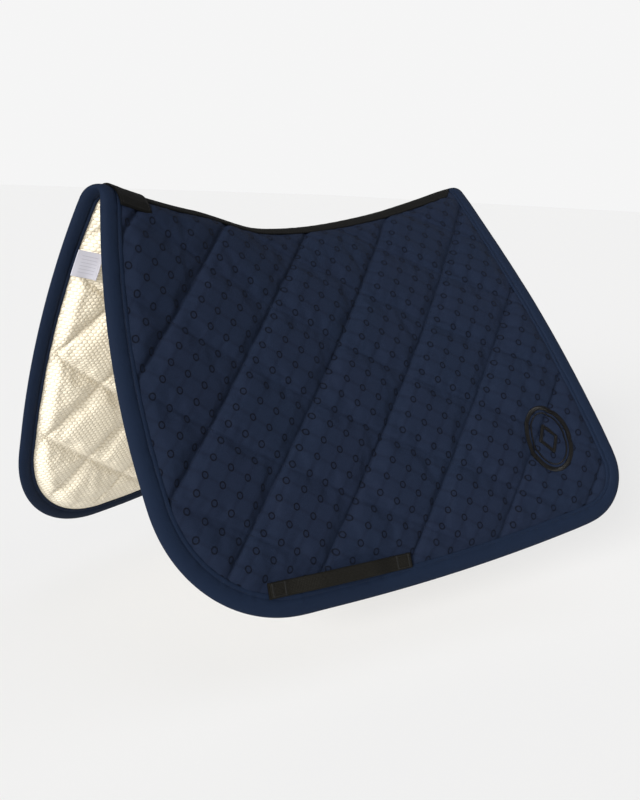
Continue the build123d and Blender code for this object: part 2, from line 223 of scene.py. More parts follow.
def noise2(x, y, seed=0, octaves=3):
    """Smooth repeatable value noise on a plane, about -1 to 1."""
    g = np.random.default_rng(100 + seed)
    tab = g.uniform(-1, 1, (64, 64))
    out = 0; amp = 1.0
    for o in range(octaves):
        fx, fy = x * 2 ** o + 13.7 * o, y * 2 ** o + 7.3 * o
        ix, iy = np.floor(fx).astype(int), np.floor(fy).astype(int)
        tx, ty = fx - ix, fy - iy
        tx, ty = tx * tx * (3 - 2 * tx), ty * ty * (3 - 2 * ty)
        a = tab[ix % 64, iy % 64]; b = tab[(ix + 1) % 64, iy % 64]
        c = tab[ix % 64, (iy + 1) % 64]; d = tab[(ix + 1) % 64, (iy + 1) % 64]
        out = out + amp * ((a * (1 - tx) + b * tx) * (1 - ty) + (c * (1 - tx) + d * tx) * ty)
        amp *= 0.5
    return out


# ------------------------------------------------------------------ mesh helpers
def new_mesh(name, verts, faces, uv=None, smooth_shade=True):
    me = bpy.data.meshes.new(name)
    me.from_pydata([tuple(v) for v in np.asarray(verts, float)], [], [tuple(int(i) for i in f) for f in faces])
    me.update()
    if uv is not None:
        layer = me.uv_layers.new(name="OFBake")
        loops = np.empty(len(me.loops), int)
        me.loops.foreach_get("vertex_index", loops)
        layer.data.foreach_set("uv", np.asarray(uv, float)[loops].ravel())
    if smooth_shade:
        me.polygons.foreach_set("use_smooth", np.ones(len(me.polygons), bool))
    ob = bpy.data.objects.new(name, me)
    bpy.context.scene.collection.objects.link(ob)
    return ob


def grid_faces(nu, nv, close_v=False, flip=False):
    f = []
    for i in range(nu - 1):
        for j in range(nv if close_v else nv - 1):
            j2 = (j + 1) % nv
            q = (i * nv + j, i * nv + j2, (i + 1) * nv + j2, (i + 1) * nv + j)
            f.append(q[::-1] if flip else q)
    return f


def coords(ob):
    c = np.empty(len(ob.data.vertices) * 3)
    ob.data.vertices.foreach_get("co", c)
    return c.reshape(-1, 3)


def set_coords(ob, c):
    ob.data.vertices.foreach_set("co", np.asarray(c, float).ravel()); ob.data.update()


def orient(ob, out_dir):
    """Turns the faces so that their normals agree with out_dir on the whole."""
    ob.data.update()
    n = np.empty(len(ob.data.polygons) * 3); ob.data.polygons.foreach_get("normal", n)
    if (n.reshape(-1, 3) @ np.asarray(out_dir, float)).sum() < 0:
        ob.data.flip_normals()
    return ob


def apply_mods(ob):
    dg = bpy.context.evaluated_depsgraph_get(); dg.update()
    me = bpy.data.meshes.new_from_object(ob.evaluated_get(dg))
    ob.modifiers.clear()
    old = ob.data; ob.data = me
    bpy.data.meshes.remove(old)


def mirrored(ob, name, extra=None):
    """The same piece on the other side of the spine."""
    me = ob.data.copy()
    o2 = bpy.data.objects.new(name, me)
    bpy.context.scene.collection.objects.link(o2)
    c = coords(o2); c[:, 1] *= -1
    if extra is not None: c = c + extra
    set_coords(o2, c)
    me.flip_normals()
    return o2


# ------------------------------------------------------------------ quilted faces: a mesh whose edges run along the seams
def quilt_grid(res):
    na, nb = max(6, round(PA / res)), max(6, round(abs(PB) / res))
    a = np.arange(-4 * na, 11 * na + 1) / na
    b = np.arange(-4 * nb, 11 * nb + 1) / nb
    A, B = np.meshgrid(a, b, indexing="ij")
    p = ab_to_panel(A.ravel(), B.ravel())
    v = p[:, 1] + z0(p[:, 0])
    ok = (v >= 2.0) & (p[:, 0] > -60) & (p[:, 0] < 620) & (p[:, 1] < 520)
    idx = np.where(ok)[0]
    ins = inside(p[idx]) & (edge_distance(p[idx]) >= 7.0)
    ok[:] = False; ok[idx[ins]] = True
    n_a, n_b = len(a), len(b)
    ids = np.arange(n_a * n_b).reshape(n_a, n_b)
    quads = np.stack([ids[:-1, :-1], ids[1:, :-1], ids[1:, 1:], ids[:-1, 1:]], -1).reshape(-1, 4)
    quads = quads[ok[quads].all(1)]
    used = np.unique(quads)
    remap = -np.ones(n_a * n_b, int); remap[used] = np.arange(len(used))
    P = p[used]
    fa = np.arange(-4 * na, 11 * na + 1)[used // n_b] % na
    fb = np.arange(-4 * nb, 11 * nb + 1)[used % n_b] % nb
    return P, remap[quads], fa == 0, fb == 0


def keeper_distance(P):
    """Distance from the line along which the girth keeper lies."""
    a = np.array([80.0, 441.0]); b = np.array([252.0, 458.0]); ab = b - a
    k = np.clip(((P - a) @ ab) / (ab @ ab), 0, 1)
    return np.hypot(*(P - a - k[:, None] * ab).T)


def seam_profile(P, H, seam_a, seam_b, seed, cross_cut=0.42):
    """Depth of a quilted face before the cloth settles: sharp seams, full tubes between."""
    a, b = panel_to_ab(P)
    da, db = np.abs(a - np.round(a)) * PA, np.abs(b - np.round(b)) * abs(PB)
    t = edge_distance(P); v = P[:, 1] + z0(P[:, 0])
    fb_ = smooth((t - 19) / 16); fr = smooth((v - 12) / 16)
    full = (1 - np.exp(-da / 10.0)) * (1 - cross_cut * np.exp(-db / 6.5))
    lump = 1 + 0.14 * noise2(P[:, 0] / 38, P[:, 1] / 38, seed)
    er = np.hypot((P[:, 0] - 481) / 31, (P[:, 1] - 378) / 42)
    kd = keeper_distance(P)
    h = H * full * fb_ * fr * lump * (1 - 0.55 * (1 - smooth((er - 0.9) / 0.5))) * (1 - 0.8 * (1 - smooth((kd - 9) / 12)))
    g = seam_a * np.exp(-(da / 2.4) ** 2) + seam_b * np.exp(-(db / 2.2) ** 2)
    g = np.minimum(g, seam_a)
    g = np.maximum(g, 1.3 * (1 - smooth((t - 19) / 6)))
    g = np.maximum(g, 0.5 * (1 - smooth((v - 10) / 8)))
    return g - h, da, db, t, v


def settle(ob, pins, cap_n, cap_t, normals, grow=0.03, pressure=4.0):
    """Cloth simulation of one quilted face: pinned along its seams, blown up from behind, with a
    little spare cloth so that it puckers. The movement is capped and applied."""
    start = coords(ob)
    vg = ob.vertex_groups.new(name="pins")
    vg.add([int(i) for i in np.where(pins)[0]], 1.0, "REPLACE")
    m = ob.modifiers.new("cloth", "CLOTH")
    s = m.settings
    s.quality = 6; s.mass = 0.15
    s.tension_stiffness = 18; s.compression_stiffness = 18; s.shear_stiffness = 6; s.bending_stiffness = 0.08
    s.tension_damping = 6; s.compression_damping = 6; s.shear_damping = 6; s.air_damping = 1.5
    s.vertex_group_mass = "pins"
    s.shrink_min = -grow
    s.use_pressure = True; s.uniform_pressure_force = pressure
    s.effector_weights.gravity = 0
    m.collision_settings.use_collision = False; m.collision_settings.use_self_collision = False
    m.point_cache.frame_start = 1; m.point_cache.frame_end = 20
    sc = bpy.context.scene
    for f in range(1, 21):
        sc.frame_set(f)
    dg = bpy.context.evaluated_depsgraph_get()
    me = ob.evaluated_get(dg).to_mesh()
    c = np.empty(len(me.vertices) * 3); me.vertices.foreach_get("co", c); c = c.reshape(-1, 3)
    ob.evaluated_get(dg).to_mesh_clear()
    ob.modifiers.clear(); ob.vertex_groups.clear()
    sc.frame_set(1)
    move = c - start
    move[~np.isfinite(move).all(1)] = 0
    mn = (move * normals).sum(1)
    mt = move - normals * mn[:, None]
    mn = np.clip(mn, -cap_n * 0.5, cap_n)
    lt = np.linalg.norm(mt, axis=1)
    mt *= (np.minimum(lt, cap_t) / np.maximum(lt, 1e-9))[:, None]
    print("settled", ob.name, "normal mm", round(float(mn.min() * 1e3), 2), round(float(mn.max() * 1e3), 2), "sideways mm", round(float(lt.max() * 1e3), 2))
    set_coords(ob, start + normals * mn[:, None] + mt)


def quilted_face(name, outer, H, seam_a, seam_b, seed, res=4.15):
    P, quads, on_a, on_b = quilt_grid(res)
    prof, da, db, t, v = seam_profile(P, H, seam_a, seam_b, seed, 0.40 if outer else 0.92)
    if not outer: prof = np.where(t < 24, np.minimum(prof, 0.6), prof)
    # the wadding is squeezed flat towards the binding
    d = prof if outer else THICK - prof - 3.6 * (1 - smooth((t - 14) / 17)) - 0.4 * (1 - smooth((t - 10) / 6))
    C = surf(P[:, 0], P[:, 1], d)
    uv = np.stack([(P[:, 0] + 60) / 700, (P[:, 1] + 20) / 700], -1)
    ob = new_mesh(name, C, quads, uv)
    orient(ob, (0, 1, 0.4) if outer else (0, -1, -0.4))
    e = 0.5
    nn = (surf(P[:, 0], P[:, 1], d - e) - surf(P[:, 0], P[:, 1], d + e))
    nn /= np.linalg.norm(nn, axis=1)[:, None]
    if not outer: nn = -nn
    pins = on_a | on_b | (t < 20.5) | (v < 12)
    if outer:       # sewn down under the emblem and the ends of the girth keeper
        er = np.hypot((P[:, 0] - 481) / 31, (P[:, 1] - 378) / 42)
        pins |= er < 1.16
        pins |= keeper_distance(P) < 11
    settle(ob, pins, 0.0022, 0.0014, nn, grow=0.018 if outer else 0.02, pressure=4.0 if outer else 3.0)
    # crease the seams, then one subdivision
    me = ob.data
    ev = np.empty(len(me.edges) * 2, int); me.edges.foreach_get("vertices", ev); ev = ev.reshape(-1, 2)
    cr = np.zeros(len(ev))
    cr[on_b[ev].all(1)] = 0.55
    cr[on_a[ev].all(1)] = 0.95
    att = me.attributes.new("crease_edge", "FLOAT", "EDGE")
    att.data.foreach_set("value", cr)
    sub = ob.modifiers.new("sub", "SUBSURF"); sub.levels = 1; sub.render_levels = 1; sub.uv_smooth = "NONE"
    apply_mods(ob)
    ob.data.polygons.foreach_set("use_smooth", np.ones(len(ob.data.polygons), bool))
    return ob


# ------------------------------------------------------------------ stitches
def stitch_mesh(name, centres, dirs, ups, length, width, height, jitter=0.0):
    """A row of thread stitches, each a small closed rounded capsule."""
    n = len(centres)
    if jitter:
        centres = centres + rng.normal(0, jitter, (n, 3))
    d = dirs / np.linalg.norm(dirs, axis=1)[:, None]
    up = ups - d * (ups * d).sum(1)[:, None]; up /= np.linalg.norm(up, axis=1)[:, None]
    sd = np.cross(d, up)
    ring = [(-0.5, 0.35, -0.55), (-0.32, 0.85, 0.0), (0.0, 1.0, 0.12), (0.32, 0.85, 0.0), (0.5, 0.35, -0.55)]
    k = 6
    V, F = [], []
    per = len(ring) * k + 2
    ang = np.arange(k) * 2 * np.pi / k
    for (x, s, lift) in ring:
        for a in ang:
            V.append(centres + d * (x * length) + sd * (math.cos(a) * s * width / 2) + up * (math.sin(a) * s * height / 2 + lift * height * 0.5))
    V.append(centres + d * (-0.56 * length) - up * (0.4 * height)); V.append(centres + d * (0.56 * length) - up * (0.4 * height))
    V = np.stack(V, 1).reshape(-1, 3)
    base = []
    for r in range(len(ring) - 1):
        for j in range(k):
            j2 = (j + 1) % k
            base.append((r * k + j, r * k + j2, (r + 1) * k + j2, (r + 1) * k + j))
    F = (np.array(base)[None] + (np.arange(n) * per)[:, None, None]).reshape(-1, 4).tolist()
    e = len(ring) * k
    for j in range(k):
        j2 = (j + 1) % k
        F += [(int(o + e), int(o + j2), int(o + j)) for o in np.arange(n) * per]
        F += [(int(o + e + 1), int(o + e - k + j), int(o + e - k + j2)) for o in np.arange(n) * per]
    ob = new_mesh(name, V, F)
    bm = bmesh.new(); bm.from_mesh(ob.data); bmesh.ops.recalc_face_normals(bm, faces=bm.faces); bm.to_mesh(ob.data); bm.free()
    return ob


def line_stitches(points_uw, depth, pitch, side=1):
    """Centres, directions and outward normals for stitches along one panel polyline."""
    p = np.asarray(points_uw, float)
    seg = np.r_[0, np.cumsum(np.hypot(*np.diff(p, axis=0).T))]
    s = np.arange(pitch / 2, seg[-1], pitch)
    q = np.stack([np.interp(s, seg, p[:, 0]), np.interp(s, seg, p[:, 1])], -1)
    q2 = np.stack([np.interp(s + 0.5, seg, p[:, 0]), np.interp(s + 0.5, seg, p[:, 1])], -1)
    q1 = np.stack([np.interp(s - 0.5, seg, p[:, 0]), np.interp(s - 0.5, seg, p[:, 1])], -1)
    dep = depth(q) if callable(depth) else depth
    c = surf(q[:, 0], q[:, 1], dep, side)
    d = surf(q2[:, 0], q2[:, 1], dep, side) - surf(q1[:, 0], q1[:, 1], dep, side)
    n = surf(q[:, 0], q[:, 1], dep - 1, side) - c
    return c, d, n


def seam_lines():
    out = []
    for fam, k0, k1 in (("A", -3, 10), ("B", -3, 10)):
        for k in range(k0, k1):
            s = np.linspace(-9, 12, 900)
            p = ab_to_panel(np.full_like(s, k), s) if fam == "A" else ab_to_panel(s, np.full_like(s, k))
            ok = inside(p) & (p[:, 1] + z0(p[:, 0]) > 15)
            if ok.sum() < 4: continue
            i = np.where(ok)[0]
            q = p[i[0]:i[-1] + 1]
            t = edge_distance(q)
            q = q[t > 20.5]
            if len(q) > 6: out.append((fam, k, q))
    return out




def quilt_stitches(name, outer, seam_a, seam_b, pitch=3.5):
    C, D, N = [], [], []
    for fam, k, q in seam_lines():
        base = seam_a if fam == "A" else seam_b
        dep = base - 0.15
        c, d, n = line_stitches(q, dep if outer else THICK - dep, pitch)
        if not outer: n = -n
        C.append(c); D.append(d); N.append(n)
    return stitch_mesh(name, np.concatenate(C), np.concatenate(D), np.concatenate(N), pitch * 0.78 * 1e-3, 0.75e-3, 0.6e-3)


# ------------------------------------------------------------------ binding: one folded tape all round each flap
BIND = [(20.9, 1.3), (21.1, 0.75), (21.0, 0.25), (20.4, 0.0), (19.4, -0.14), (18.2, -0.12), (17.3, 0.1), (16.6, 0.48),
        (15.9, 0.05), (14.9, -0.45), (13.0, -0.82), (10.6, -0.95), (8.2, -0.75), (6.0, -0.22), (4.1, 0.55), (2.4, 1.55),
        (1.1, 2.75), (0.3, 3.9), (0.1, 4.7),
        (0.35, 5.6), (1.2, 6.7), (2.6, 7.7), (4.4, 8.5), (6.4, 9.0), (8.4, 9.3), (10.2, 9.35), (11.6, 9.1), (12.4, 8.75),
        (13.0, 8.4), (13.7, 8.85), (14.5, 9.25), (15.4, 9.35), (16.1, 9.2), (16.5, 8.7), (16.4, 8.0)]
MID = 4.7


def section_dirs():
    """Direction of the binding's section at each outline point: square to the edge, but along the
    ridge where the tape crosses it."""
    n = OUT_N.copy()
    e = 1.0
    rf = np.array([1.0, -(z0(OUT[0, 0] + e) - z0(OUT[0, 0] - e)) / 2]); rf /= np.linalg.norm(rf)
    rr = np.array([-1.0, (z0(OUT[-1, 0] + e) - z0(OUT[-1, 0] - e)) / 2]); rr /= np.linalg.norm(rr)
    k = smooth(OUT_S / 45)[:, None]; n = rf * (1 - k) + n * k
    k = smooth((OUT_S[-1] - OUT_S) / 45)[:, None]; n = rr * (1 - k) + n * k
    return n / np.linalg.norm(n, axis=1)[:, None]


SEC = section_dirs()


def binding(name, seed):
    T = np.array([b[0] - 1.5 * (1 - b[0] / 21.1) for b in BIND]); D = np.array([b[1] for b in BIND])
    n, m = len(OUT), len(BIND)
    s = OUT_S[:, None]
    # small puckers that the stitching draws into the tape, fading at the ridge where two tapes meet
    fade = smooth(OUT_S / 25)[:, None] * smooth((OUT_S[-1] - OUT_S) / 25)[:, None]
    near = np.exp(-((T - 15.5) / 4.5) ** 2)[None] * 0.9 + 0.25
    puck = noise2(s / 7.0, T[None] / 16.0 + seed, seed, 2) * near * 0.34 * fade
    big = noise2(s / 60.0, np.zeros((1, m)) + seed, seed + 3, 2) * 0.55 * fade
    outer = (D < MID)[None]
    sgn = np.where(outer, 1.0, -1.0) * np.clip(np.abs(D - MID) / 3.0, 0, 1)[None]
    dd = D[None] + (puck + big * 0.5) * sgn
    tt = T[None] + big * 0.35 * (T[None] > 2)
    uu = OUT[:, 0:1] + SEC[:, 0:1] * tt; ww = OUT[:, 1:2] + SEC[:, 1:2] * tt
    # the two ends lie exactly on the ridge
    for i, k in ((0, 0), (-1, -1)):
        ww[k] = -z0(uu[k])
    V = surf(uu.ravel(), ww.ravel(), dd.ravel())
    arc = np.r_[0, np.cumsum(np.hypot(np.diff(T), np.diff(D)))]
    uv = np.stack([np.repeat(OUT_S / 1600, m), np.tile(arc / 1600 * 1.0, n)], -1)
    ob = new_mesh(name, V, grid_faces(n, m), uv)
    orient(ob, (0, 0, -1))
    # normals outwards: compare with the sheet's middle
    me = ob.data; me.update()
    i = (n // 3) * (m - 1) + 9
    f = me.polygons[i]
    out = surf(OUT[n // 3, 0], OUT[n // 3, 1], -1) - surf(OUT[n // 3, 0], OUT[n // 3, 1], 1)
    if Vector(f.normal).dot(Vector(out)) < 0: me.flip_normals()
    sub = ob.modifiers.new("sub", "SUBSURF"); sub.levels = 1; sub.render_levels = 1; sub.uv_smooth = "NONE"; sub.boundary_smooth = "PRESERVE_CORNERS"
    apply_mods(ob)
    ob.data.polygons.foreach_set("use_smooth", np.ones(len(ob.data.polygons), bool))
    return ob


def binding_stitches(name):
    C, Dr, N = [], [], []
    for t, dep, outer in ((16.6, 0.36, True), (13.0, 8.55, False)):
        q = OUT + SEC * t
        keep = (OUT_S > 14) & (OUT_S < OUT_S[-1] - 14)
        c, d, n = line_stitches(q[keep], dep, 3.4)
        if not outer: n = -n
        C.append(c); Dr.append(d); N.append(n)
    return stitch_mesh(name, np.concatenate(C), np.concatenate(Dr), np.concatenate(N), 2.7e-3, 0.8e-3, 0.65e-3)


# ------------------------------------------------------------------ bands of webbing and tape laid on the surface
def band(name, path, half_w, thick, lift, edge_round=0.35, cross=9, end_drop=0.0, side=1, wave=None):
    """A closed flat band along a panel path: half_w to each side, thick, its underside lift above
    the outer face. lift may be an array along the path."""
    p = np.asarray(path, float)
    n = len(p)
    t = np.gradient(p, axis=0); t /= np.linalg.norm(t, axis=1)[:, None]
    nr = np.stack([-t[:, 1], t[:, 0]], -1)
    lift = np.broadcast_to(np.asarray(lift, float), (n,)).copy()
    seg = np.r_[0, np.cumsum(np.hypot(*np.diff(p, axis=0).T))]
    xs = np.linspace(-1, 1, cross)
    prof = []
    for x in xs: prof.append((x, 1.0 - edge_round * max(0, (abs(x) - 0.86) / 0.14) ** 2))
    for x in xs[::-1]: prof.append((x, 0.0 + edge_round * 0.5 * max(0, (abs(x) - 0.86) / 0.14) ** 2))
    prof = np.array(prof); m = len(prof)
    V = np.empty((n, m, 3)); UV = np.empty((n, m, 2))
    for j, (x, h) in enumerate(prof):
        q = p + nr * (x * half_w)
        hh = lift + h * thick
        if wave is not None: hh = hh + wave * noise2(seg / 23.0, np.full(n, x * 0.7), 41, 2)
        V[:, j] = surf(q[:, 0], q[:, 1], -hh, side)
        UV[:, j, 0] = seg / 400; UV[:, j, 1] = (x * half_w + half_w) / 400 + (0.3 if j >= cross else 0)
    faces = grid_faces(n, m, close_v=True)
    faces.append(tuple(range(m))); faces.append(tuple((n - 1) * m + j for j in range(m))[::-1])
    ob = new_mesh(name, V.reshape(-1, 3), faces, UV.reshape(-1, 2))
    bm = bmesh.new(); bm.from_mesh(ob.data); bmesh.ops.recalc_face_normals(bm, faces=bm.faces); bm.to_mesh(ob.data); bm.free()
    return ob


def across_ridge(name, u_list, half, d_lo, d_hi, n_v=33, taper=None, crown=0.0, seed=0, ripple=0.0):
    """A closed band that lies over the ridge from one side to the other. d_lo and d_hi are its
    inner and outer depths."""
    us = np.asarray(u_list, float); n = len(us)
    xs = np.linspace(-1, 1, n_v)
    rows = []
    UV = []
    for (dd, rev) in ((d_hi, False), (d_lo, True)):
        x = xs[::-1] if rev else xs
        block = np.empty((n, n_v, 3)); uvb = np.empty((n, n_v, 2))
        for j, xx in enumerate(x):
            hw = half if taper is None else half * taper(us)
            v = np.abs(xx) * hw
            sgn = 1 if xx >= 0 else -1
            edge = max(0.0, (abs(xx) - 0.9) / 0.1)
            dep = dd + (0 if rev else (d_lo - d_hi) * 0.55 * edge ** 2 - crown * (1 - xx * xx))
            dep = dep + (0 if rev else ripple * noise2(us / 6.5, np.full(n, xx * 3.0), seed, 2))
            pt = surf(us, v - z0(us), dep)
            pt[:, 1] *= sgn
            block[:, j] = pt
            uvb[:, j, 0] = us / 620; uvb[:, j, 1] = (xx * half + half) / 620 + (0.4 if rev else 0)
        rows.append(block); UV.append(uvb)
    V = np.concatenate(rows, axis=1); UVs = np.concatenate(UV, axis=1)
    m = V.shape[1]
    faces = grid_faces(n, m, close_v=True)
    faces.append(tuple(range(m))); faces.append(tuple((n - 1) * m + j for j in range(m))[::-1])
    ob = new_mesh(name, V.reshape(-1, 3), faces, UVs.reshape(-1, 2))
    bm = bmesh.new(); bm.from_mesh(ob.data); bmesh.ops.recalc_face_normals(bm, faces=bm.faces); bm.to_mesh(ob.data); bm.free()
    return ob


# ================================================================== materials
def material(name):
    m = bpy.data.materials.new(name); m.use_nodes = True
    nt = m.node_tree
    for n in list(nt.nodes): nt.nodes.remove(n)
    out = nt.nodes.new("ShaderNodeOutputMaterial"); b = nt.nodes.new("ShaderNodeBsdfPrincipled")
    nt.links.new(b.outputs[0], out.inputs[0])
    return m, nt, b


class G:
    """Small helpers for wiring shader nodes."""
    def __init__(self, nt): self.nt = nt
    def _in(self, sock, val):
        if isinstance(val, bpy.types.NodeSocket): self.nt.links.new(val, sock)
        else: sock.default_value = val
    def math(self, op, a, b=0.0, c=None, clamp=False):
        n = self.nt.nodes.new("ShaderNodeMath"); n.operation = op; n.use_clamp = clamp
        self._in(n.inputs[0], a); self._in(n.inputs[1], b)
        if c is not None: self._in(n.inputs[2], c)
        return n.outputs[0]
    def mix(self, f, a, b):
        n = self.nt.nodes.new("ShaderNodeMix"); n.data_type = "RGBA"
        self._in(n.inputs[0], f); self._in(n.inputs[6], a); self._in(n.inputs[7], b)
        return n.outputs[2]
    def noise(self, vec, scale, detail=3.0, rough=0.5):
        n = self.nt.nodes.new("ShaderNodeTexNoise")
        self.nt.links.new(vec, n.inputs["Vector"]); n.inputs["Scale"].default_value = scale
        n.inputs["Detail"].default_value = detail; n.inputs["Roughness"].default_value = rough
        return n.outputs[0]
    def uv(self, mm):
        n = self.nt.nodes.new("ShaderNodeUVMap"); n.uv_map = "OFBake"
        s = self.nt.nodes.new("ShaderNodeSeparateXYZ"); self.nt.links.new(n.outputs[0], s.inputs[0])
        x = self.math("MULTIPLY", s.outputs[0], mm); y = self.math("MULTIPLY", s.outputs[1], mm)
        return x, y
    def comb(self, x, y, z=0.0):
        n = self.nt.nodes.new("ShaderNodeCombineXYZ")
        self._in(n.inputs[0], x); self._in(n.inputs[1], y); self._in(n.inputs[2], z)
        return n.outputs[0]
    def obj(self):
        n = self.nt.nodes.new("ShaderNodeTexCoord"); return n.outputs["Object"]
    def ramp(self, f, stops):
        n = self.nt.nodes.new("ShaderNodeValToRGB"); self.nt.links.new(f, n.inputs[0])
        e = n.color_ramp.elements
        while len(e) < len(stops): e.new(0.5)
        for i, (p, c) in enumerate(stops):
            e[i].position = p; e[i].color = (*c, 1)
        return n.outputs[0]
    def bump(self, h, dist, strength=1.0, normal=None):
        n = self.nt.nodes.new("ShaderNodeBump"); n.inputs["Strength"].default_value = strength
        n.inputs["Distance"].default_value = dist
        self.nt.links.new(h, n.inputs["Height"])
        if normal is not None: self.nt.links.new(normal, n.inputs["Normal"])
        return n.outputs[0]


def weave(g, x, y, pitch):
    """Height of a plain weave with the given thread pitch, from plane coordinates in mm."""
    k = 2 * math.pi / pitch
    sx = g.math("SINE", g.math("MULTIPLY", x, k)); sy = g.math("SINE", g.math("MULTIPLY", y, k))
    hx = g.math("ABSOLUTE", g.math("SINE", g.math("MULTIPLY", x, k / 2)))
    hy = g.math("ABSOLUTE", g.math("SINE", g.math("MULTIPLY", y, k / 2)))
    over = g.math("GREATER_THAN", g.math("MULTIPLY", sx, sy), 0.0)
    a = g.math("MULTIPLY", hx, over)
    b = g.math("MULTIPLY", hy, g.math("SUBTRACT", 1.0, over))
    return g.math("ADD", a, b)


def shell_material():
    m, nt, b = material("quilted_navy_fabric"); g = G(nt)
    x, y = g.uv(700.0)
    # printed rings on a square lattice turned by 45 degrees
    e1, e2 = np.array([16.07, 13.97]), np.array([-13.62, 15.03])
    o = np.array([28.16 + 60, 356.79 + 20])
    inv = np.linalg.inv(np.stack([e1, e2], -1))
    px, py = g.math("SUBTRACT", x, float(o[0])), g.math("SUBTRACT", y, float(o[1]))
    i = g.math("ADD", g.math("MULTIPLY", px, float(inv[0, 0])), g.math("MULTIPLY", py, float(inv[0, 1])))
    j = g.math("ADD", g.math("MULTIPLY", px, float(inv[1, 0])), g.math("MULTIPLY", py, float(inv[1, 1])))
    fi = g.math("SUBTRACT", i, g.math("ROUND", i)); fj = g.math("SUBTRACT", j, g.math("ROUND", j))
    rx = g.math("ADD", g.math("MULTIPLY", fi, float(e1[0])), g.math("MULTIPLY", fj, float(e2[0])))
    ry = g.math("ADD", g.math("MULTIPLY", fi, float(e1[1])), g.math("MULTIPLY", fj, float(e2[1])))
    r = g.math("SQRT", g.math("ADD", g.math("MULTIPLY", rx, rx), g.math("MULTIPLY", g.math("MULTIPLY", ry, 0.86), g.math("MULTIPLY", ry, 0.86))))
    ring = g.math("SUBTRACT", 1.0, g.math("MULTIPLY", g.math("ABSOLUTE", g.math("SUBTRACT", r, 2.95)), 1.15), clamp=True)
    ring = g.math("SMOOTH_MIN", g.math("MULTIPLY", ring, 1.8), 1.0, 0.1)
    ring = g.math("MAXIMUM", ring, 0.0)
    P = g.comb(x, y)
    wear = g.noise(P, 0.35, 3, 0.6)
    ring = g.math("MULTIPLY", ring, g.math("ADD", 0.72, g.math("MULTIPLY", wear, 0.45)))
    # cloth colour: fine thread variation and slow uneven dyeing
    fine = g.noise(P, 1.6, 4, 0.65); slow = g.noise(P, 0.012, 3, 0.5)
    base = g.mix(g.math("MULTIPLY", fine, 0.75), (0.0054, 0.0092, 0.0205, 1), (0.0104, 0.0170, 0.0352, 1))
    base = g.mix(g.math("MULTIPLY", g.math("SUBTRACT", slow, 0.3), 0.9, clamp=True), base, (0.0088, 0.0120, 0.0260, 1))
    # a faint darker net runs through the rings
    net = g.math("MAXIMUM", g.math("SUBTRACT", 1.0, g.math("MULTIPLY", g.math("ABSOLUTE", fi), 6.5), clamp=True),
                 g.math("SUBTRACT", 1.0, g.math("MULTIPLY", g.math("ABSOLUTE", fj), 6.5), clamp=True))
    base = g.mix(g.math("MULTIPLY", net, 0.30), base, (0.0035, 0.0050, 0.0115, 1))
    dark = g.mix(g.math("MULTIPLY", ring, 0.86), base, (0.0010, 0.0013, 0.0030, 1))
    nt.links.new(dark, b.inputs["Base Color"])
    w = weave(g, x, y, 0.9)
    bn = g.bump(w, 0.00022, 0.55)
    mid = g.noise(P, 0.22, 4, 0.6)
    bn = g.bump(mid, 0.0009, 0.20, bn)
    bn = g.bump(ring, 0.0003, 0.6, bn)
    nt.links.new(bn, b.inputs["Normal"])
    rough = g.math("ADD", 0.60, g.math("MULTIPLY", fine, 0.16))
    rough = g.math("SUBTRACT", rough, g.math("MULTIPLY", ring, 0.10))
    nt.links.new(rough, b.inputs["Roughness"])
    b.inputs["Specular IOR Level"].default_value = 0.045
    b.inputs["Sheen Weight"].default_value = 0.004
    b.inputs["Sheen Roughness"].default_value = 0.45
    b.inputs["Sheen Tint"].default_value = (0.45, 0.58, 0.95, 1)
    return m


def binding_material():
    m, nt, b = material("navy_binding_tape"); g = G(nt)
    x, y = g.uv(1600.0)
    P = g.comb(x, y)
    fine = g.noise(P, 1.9, 4, 0.65); slow = g.noise(P, 0.03, 3, 0.5)
    base = g.mix(g.math("MULTIPLY", fine, 0.8), (0.0044, 0.0086, 0.0205, 1), (0.0092, 0.0168, 0.0365, 1))
    base = g.mix(g.math("MULTIPLY", slow, 0.45), base, (0.0058, 0.0095, 0.0205, 1))
    nt.links.new(base, b.inputs["Base Color"])
    # fine twill: slanted ribs
    tw = g.math("SINE", g.math("MULTIPLY", g.math("ADD", x, g.math("MULTIPLY", y, 1.4)), 2 * math.pi / 0.95))
    bn = g.bump(tw, 0.00012, 0.45)
    wr = g.noise(P, 0.30, 3, 0.55)
    bn = g.bump(wr, 0.0008, 0.30, bn)
    nt.links.new(bn, b.inputs["Normal"])
    nt.links.new(g.math("ADD", 0.55, g.math("MULTIPLY", fine, 0.18)), b.inputs["Roughness"])
    b.inputs["Specular IOR Level"].default_value = 0.045
    b.inputs["Sheen Weight"].default_value = 0.004
    b.inputs["Sheen Roughness"].default_value = 0.4
    b.inputs["Sheen Tint"].default_value = (0.45, 0.58, 0.95, 1)
    return m


